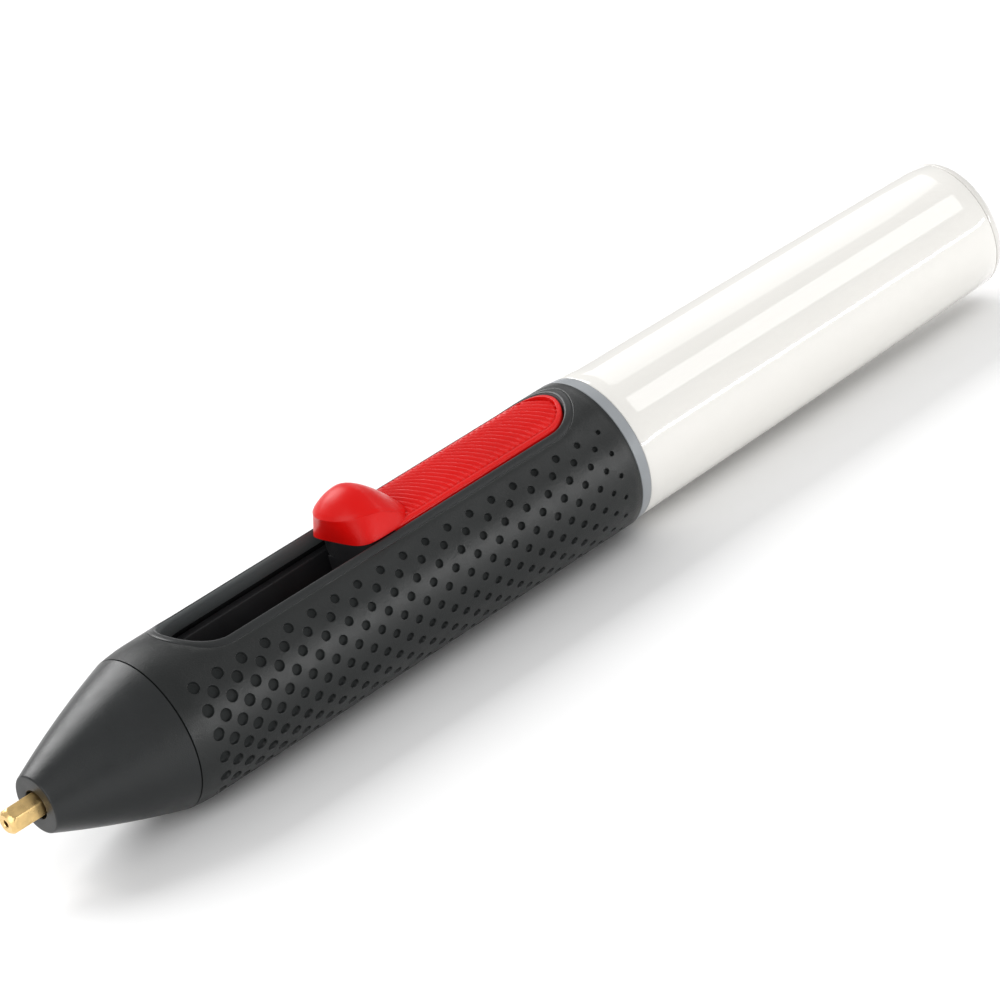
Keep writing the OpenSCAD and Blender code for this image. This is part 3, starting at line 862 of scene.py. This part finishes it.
def pad():
    """The slider's flat rear: a smooth border round a slightly sunken floor with fine slanting ribs."""
    shape = Shape()

    def valley_z(y):
        return PAD_FLOOR - y * y / PAD_BEND - RIB_HEIGHT

    def rib_z(x, y):
        phase = (x + RIB_SLANT * y) / RIB_PITCH
        return valley_z(y) + RIB_HEIGHT * (0.5 + 0.5 * math.cos(2 * math.pi * phase)) ** 1.6

    # the border's section: how far outside the outline, and how far below the lip
    section = ((0.0, 1.2), (-0.02, 0.22), (-0.08, 0.1), (-0.2, 0.03), (-0.34, 0.0), (-0.6, 0.0),
        (-0.72, 0.04))
    rings = [shape.add([(x, y, lip_z(x, y) - drop) for x, y in pad_outline(out)]) for out, drop in section]
    inside = pad_outline(-PAD_BORDER)
    floor_edge = shape.add([(x, y, min(valley_z(y), lip_z(x, y) - 0.3)) for x, y in inside])
    base = shape.add([(x, y, cap_under_z) for x, y in pad_outline(0.0)])
    shape.skin([base, *rings, floor_edge])
    shape.cap(base)

    rear = slider_x1 - slider_w
    reach_w = slider_w - PAD_BORDER - 0.12

    def within(x, y):
        if x < rear:
            return abs(y) < reach_w and x > RIBS_X0
        return math.hypot(x - rear, y) < reach_w

    # rows of points run along the ribs, so that the triangles follow them
    rows_per_rib, across, across_step = 6, 21, 0.27
    first_row = math.floor((RIBS_X0 - RIB_SLANT * slider_w) / RIB_PITCH) * rows_per_rib
    last_row = math.ceil((slider_x1 + RIB_SLANT * slider_w) / RIB_PITCH) * rows_per_rib
    ribs = []
    for row in range(first_row, last_row):
        for y in [k * across_step for k in range(-across, across + 1)]:
            x = row * RIB_PITCH / rows_per_rib - RIB_SLANT * y
            if within(x, y):
                ribs.append((x, y, min(rib_z(x, y), lip_z(x, y) - 0.05)))
    places = inside + [(x, y) for x, y, _ in ribs]
    shape.fill(floor_edge + shape.add(ribs), places, [list(range(len(inside)))])
    piece("slider_ribbed_pad", shape, "slider", "red_plastic", ["slider_cap"], sharp=32)


hump()
pad()


# ---- ring, barrel and rear end ----

button_lo, button_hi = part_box("power_button")
button_z = height((button_lo.z + button_hi.z) / 2)
usb_lo, usb_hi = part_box("usb_socket")
usb_z = height((usb_lo.z + usb_hi.z) / 2)
light_lo, light_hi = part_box("light_window")
light_z = height((light_lo.z + light_hi.z) / 2)
BUTTON_R = 4.0


def collar():
    """The grey ring between grip and barrel, with rounded edges."""
    x0, x1 = span("collar_ring")
    inner, edge = 10.65, 0.16
    path = rounded([(x0, inner, 0), (x0, grip_rear_r - 0.04, edge), (x1, barrel_r0 + 0.02, edge),
        (x1, inner, 0)], 4)
    piece("collar_ring_satin", turned(path, 160), "front_half", "ring_grey", ["collar_ring"], sharp=50)


def barrel():
    """The glossy barrel, open in front, with softened ends."""
    inner0, inner1 = 11.1, 10.1
    count = 24
    front = [(barrel_x0 + 0.3, inner0), (barrel_x0, inner0 + 0.3), (barrel_x0, barrel_r0 - 0.25),
        (barrel_x0 + 0.07, barrel_r0 - 0.09), (barrel_x0 + 0.22, barrel_r(barrel_x0 + 0.22))]
    outer = [(x, barrel_r(x)) for x in [barrel_x0 + (cap_x - barrel_x0) * i / count for i in range(1, count)]]
    rear = [(cap_x - 0.14, barrel_r(cap_x - 0.14)), (cap_x - 0.03, barrel_r1 - 0.05),
        (cap_x, barrel_r1 - 0.16), (cap_x, inner1)]
    path = front + outer + rear
    piece("barrel_gloss", turned(path, 160), "rear_half", "white_gloss", ["barrel"], sharp=50)


def circle(r, z, count):
    """A circle as (y, z) points."""
    return [on_round(0, r, 2 * math.pi * i / count, z)[1:] for i in range(count)]


def round_box(half_w, half_h, radius, z):
    """A rectangle with round corners, as (y, z) points."""
    count = 8
    points = []
    for k, (sy, sz) in enumerate(((1, 1), (1, -1), (-1, -1), (-1, 1))):
        corner_y, corner_z = sy * (half_w - radius), z + sz * (half_h - radius)
        for i in range(count + 1):
            a = math.pi / 2 * (k + i / count)
            points.append((corner_y + radius * math.sin(a), corner_z + radius * math.cos(a)))
    return points


def inside_loop(place, corners):
    """Whether a flat place lies inside a closed loop of corners."""
    y, z = place
    inside = False
    for (y0, z0), (y1, z1) in zip(corners, corners[1:] + corners[:1]):
        if (z0 > z) != (z1 > z) and y < (y1 - y0) * (z - z0) / (z1 - z0) + y0:
            inside = not inside
    return inside


def holed_face(shape, boundary, holes):
    """A flat face across the pen inside a boundary, with its holes left open."""
    numbers, loops = list(boundary), []
    for hole in holes:
        loops.append(list(range(len(numbers), len(numbers) + len(hole))))
        numbers += hole
    places = [shape.points[i][1:] for i in numbers]

    def keep(face):
        middle = [sum(places[i][k] for i in face) / 3 for k in (0, 1)]
        return not any(inside_loop(middle, [places[i] for i in loop]) for loop in loops)

    shape.fill(numbers, places, loops, keep)


def end_cap():
    """The barrel's rounded end, with holes for the button, the charging socket and the light."""
    shape = Shape()
    count, edge, wall = 160, 2.2, 1.6
    spigot_x, spigot_r, spigot_in = cap_x - 3.0, 10.05, 9.2
    rim = [(rear_x - edge + edge * math.sin(a), barrel_r1 - edge + edge * math.cos(a))
        for a in arc(math.pi / 2, 12)]
    path = [(rear_x - wall, spigot_in), (spigot_x, spigot_in), (spigot_x, spigot_r), (cap_x + 0.02, spigot_r),
        (cap_x + 0.02, barrel_r1 - 0.2), (cap_x + 0.08, barrel_r1 - 0.06)]
    path += [(max(x, cap_x + 0.2), r) for x, r in rim]
    rows = shape.loft([ring(x, r, count) for x, r in path])

    outer_holes, inner_holes = [], []
    for outline, bevel in ((circle(BUTTON_R + 0.15, button_z, 64), 0.25),
            (round_box(4.05, 1.68, 1.3, usb_z), 0.2), (circle(0.95, light_z, 24), 0.1)):
        middle_z = sum(z for _, z in outline) / len(outline)
        grown = 1 + bevel / 4
        mouth = shape.add([(rear_x, y * grown, middle_z + (z - middle_z) * grown) for y, z in outline])
        throat = shape.add([(rear_x - bevel * 0.6, y, z) for y, z in outline])
        back = shape.add([(rear_x - wall, y, z) for y, z in outline])
        shape.skin([mouth, throat, back])
        outer_holes.append(mouth)
        inner_holes.append(back)
    holed_face(shape, rows[-1], outer_holes)
    holed_face(shape, rows[0], inner_holes)
    piece("end_cap_rounded", shape, "rear_half", "cap_white", ["end_cap"], sharp=40)


def power_button():
    """A round button with a soft edge, a fingertip dish and two fine rings in it."""
    x0, x1 = span("power_button")
    stem_r, flange_x0, flange_x1, flange_r = 1.4, x1 - 1.9, x1 - 1.35, BUTTON_R + 0.8
    path = [(x0, 0.0), (x0, stem_r), (flange_x0, stem_r), (flange_x0, flange_r), (flange_x1, flange_r),
        (flange_x1, BUTTON_R)]
    path += rounded([(flange_x1, BUTTON_R, 0), (x1, BUTTON_R, 0.4), (x1, BUTTON_R - 1.0, 0)], 6)[1:]
    dish_r, dish_depth, steps = 2.8, 0.28, 14
    for i in range(steps + 1):
        r = dish_r * (1 - i / steps)
        groove = 0.06 if i in (3, 6) else 0.0
        path.append((x1 - dish_depth * (1 - (r / dish_r) ** 2) - groove, r))
    shape = turned(path, 72, z=button_z, closed=False)
    piece("power_button_dished", shape, "button", "red_plastic", ["power_button"], sharp=45)


def light_window():
    """A small domed light pipe with a flange behind the end cap."""
    x0, x1 = span("light_window")
    r, dome, flange, flange_r = 0.88, 0.4, 0.35, 1.3
    path = [(x0, 0.0), (x0, flange_r), (x0 + flange, flange_r), (x0 + flange, r)]
    path += [(x1 - dome + dome * math.sin(a), r * math.cos(a)) for a in arc(math.pi / 2, 8)]
    piece("light_window_domed", turned(path, 32, z=light_z, closed=False), "rear_half", "light_pipe",
        ["light_window"], sharp=50)


def box_tube(sections):
    """A capped tube through rounded boxes at the charging socket, given as (x, half_w, half_h, radius)."""
    shape = Shape()
    rows = [[(x, y, z) for y, z in round_box(half_w, half_h, r, usb_z)] for x, half_w, half_h, r in sections]
    shape.loft(rows, capped=True)
    return shape


def usb_socket():
    """A charging socket: a rounded metal shell with a rolled lip, and a tongue inside it."""
    x0, x1 = span("usb_socket")
    shell = box_tube([(x0, 3.78, 1.38, 1.25), (x1 - 0.15, 3.78, 1.38, 1.25), (x1 - 0.03, 3.72, 1.32, 1.25),
        (x1, 3.62, 1.22, 1.25), (x1 - 0.03, 3.51, 1.11, 1.0), (x1 - 0.15, 3.45, 1.05, 1.0),
        (x0 + 0.9, 3.45, 1.05, 1.0)])
    piece("usb_shell", shell, "front_half", "spring_steel", ["usb_socket"], sharp=50)
    tongue = box_tube([(x0 + 0.85, 2.6, 0.32, 0.1), (x1 - 1.3, 2.6, 0.32, 0.1), (x1 - 1.2, 2.5, 0.22, 0.08)])
    piece("usb_tongue", tongue, "front_half", "chip_black")


collar()
barrel()
end_cap()
power_button()
light_window()
usb_socket()


# ---- under the barrel: cells and contact spring ----

cell_lo, cell_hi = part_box("battery_cell_front")
cell_z = height((cell_lo.z + cell_hi.z) / 2)
CELL_R = 7.2


def battery_cell(node, name):
    """A cell: a raised contact, an insulating ring, the sleeve's rolled shoulders and a stepped flat base."""
    x0, x1 = span(node)
    contact_r, metal_r = 2.72, 6.0
    contact = [(x0, 0.0, 0), (x0, contact_r, 0.35), (x0 + 0.98, contact_r, 0.1), (x0 + 0.98, 4.6, 0)]
    insulator = [(x0 + 1.25, 4.7, 0.1), (x0 + 1.25, 5.9, 0.1), (x0 + 1.0, 6.1, 0.1)]
    sleeve = [(x0 + 1.0, CELL_R, 0.45), (x1, CELL_R, 0.45), (x1, 5.9, 0.1)]
    base = [(x1 - 0.25, 5.7, 0.1), (x1 - 0.25, 4.6, 0.05), (x1, 4.4, 0.05), (x1, 0.0, 0)]
    shape = turned(rounded(contact + insulator + sleeve + base, 4), 72, z=cell_z, closed=False)

    def bare_metal(x, y, z):
        return math.hypot(y, z - cell_z) < metal_r

    piece(name, shape, "front_half", "cell_can", [node], sharp=40, second="spring_steel",
        is_second=bare_metal)


def contact_spring():
    """A conical spring of round wire, whose two ends lie flat."""
    x0, x1 = span("rear_contact_spring")
    turns, steps, wire_r, sides = 3.5, 24, 0.27, 10
    first_flat, both_flat = 0.25, 0.75      # of a turn
    small_r, widening = 2.2, 2.5
    count = int(turns * steps)
    rows = []
    for i in range(count + 1):
        t, a = i / count, 2 * math.pi * i / steps
        along = min(1.0, max(0.0, (t * turns - first_flat) / (turns - both_flat)))
        x = x0 + wire_r + (x1 - x0 - 2 * wire_r) * along
        row = []
        for b in [2 * math.pi * k / sides for k in range(sides)]:
            r = small_r + widening * t + wire_r * math.cos(b)
            row.append((x + wire_r * math.sin(b), r * math.cos(a), cell_z + r * math.sin(a)))
        rows.append(row)
    shape = Shape()
    shape.loft(rows, capped=True)
    piece("contact_spring_wound", shape, "front_half", "spring_steel", ["rear_contact_spring"], sharp=50)


battery_cell("battery_cell_front", "cell_front_sleeved")
battery_cell("battery_cell_rear", "cell_rear_sleeved")
contact_spring()


# ---- materials for the frame's own nodes ----

for subpart in frame["record"]["subparts"]:
    node = frame["nodes"][subpart["node"]]
    if not node.material_slots:
        node.data.materials.append(None)
    for node_slot in node.material_slots:
        node_slot.material = MATERIALS[subpart["material_slot"]]


# ---- camera, floor and light ----


def camera():
    """The camera: its direction, its distance and the point that it looks at, with no shift."""
    azimuth, elevation, roll = math.radians(-33.12), math.radians(25.74), math.radians(-16.55)
    distance = 1.0
    target = Vector((-0.015435, -0.022953, 0.028316))
    back = Vector((math.sin(azimuth) * math.cos(elevation), -math.cos(azimuth) * math.cos(elevation),
        math.sin(elevation)))
    data = bpy.data.cameras.new("camera")
    data.sensor_width = 36.0
    data.lens = 234.0
    data.clip_start, data.clip_end = 0.01, 20.0
    made = bpy.data.objects.new("camera", data)
    made.rotation_mode = "QUATERNION"
    made.location = target + back * distance
    made.rotation_quaternion = Quaternion(back, roll) @ (-back).to_track_quat("-Z", "Y")
    bpy.context.scene.collection.objects.link(made)
    bpy.context.scene.camera = made


def floor():
    """A plain pale floor, just under the pen."""
    size, gap = 6.0, 0.0002
    z = cad_lo.z - gap
    corners = [(-size, -size, z), (size, -size, z), (size, size, z), (-size, size, z)]
    mesh = bpy.data.meshes.new("floor")
    mesh.from_pydata(corners, [], [(0, 1, 2, 3)])
    paint = Paint("floor_white")
    paint.set(Base_Color=(0.93, 0.93, 0.93, 1.0), Roughness=0.9, Specular_IOR_Level=0.0)
    mesh.materials.append(paint.material)
    made = bpy.data.objects.new("floor", mesh)
    bpy.context.scene.collection.objects.link(made)


def panel(name, target, direction, distance, length, width, radiance):
    """A rectangular soft light: its length lies along the pen, and radiance is its own brightness."""
    data = bpy.data.lights.new(name, "AREA")
    data.shape = "RECTANGLE"
    data.size, data.size_y = length, width
    data.energy = radiance * math.pi * length * width
    made = bpy.data.objects.new(name, data)
    direction = Vector(direction).normalized()
    made.location = target + direction * distance
    side = Vector((1, 0, 0))
    side = (side - direction * side.dot(direction)).normalized()
    up = direction.cross(side)
    made.rotation_mode = "QUATERNION"
    made.rotation_quaternion = Matrix((side, up, direction)).transposed().to_quaternion()
    bpy.context.scene.collection.objects.link(made)


def world(strength):
    """An even white surround."""
    made = bpy.data.worlds.new("studio")
    made.use_nodes = True
    background = made.node_tree.nodes["Background"]
    background.inputs["Color"].default_value = (1.0, 1.0, 1.0, 1.0)
    background.inputs["Strength"].default_value = strength
    bpy.context.scene.world = made


def studio():
    """Three large soft lights on the whole pen, and two small ones for the bands on the glossy barrel."""
    pen, on_barrel = Vector((0.0, 0.0, axis_z)), at(165, 0, 0)
    world(0.52)
    panel("key_panel", pen, (-0.82, -0.35, 0.45), distance=1.2, length=0.9, width=0.9, radiance=2.2)
    panel("top_panel", pen, (-0.05, 0.74, 0.67), distance=1.2, length=0.7, width=0.85, radiance=6.5)
    panel("low_panel", pen, (0.5, -0.86, 0.03), distance=1.3, length=1.4, width=0.06, radiance=24.0)
    panel("band_panel", on_barrel, (0.49, -0.487, 0.72), distance=0.3, length=0.135, width=0.13, radiance=2.2)
    panel("crown_panel", on_barrel, (0.49, 0.47, 0.73), distance=0.3, length=0.135, width=0.26, radiance=1.2)
    bpy.context.scene.view_settings.view_transform = "Standard"


camera()
floor()
studio()
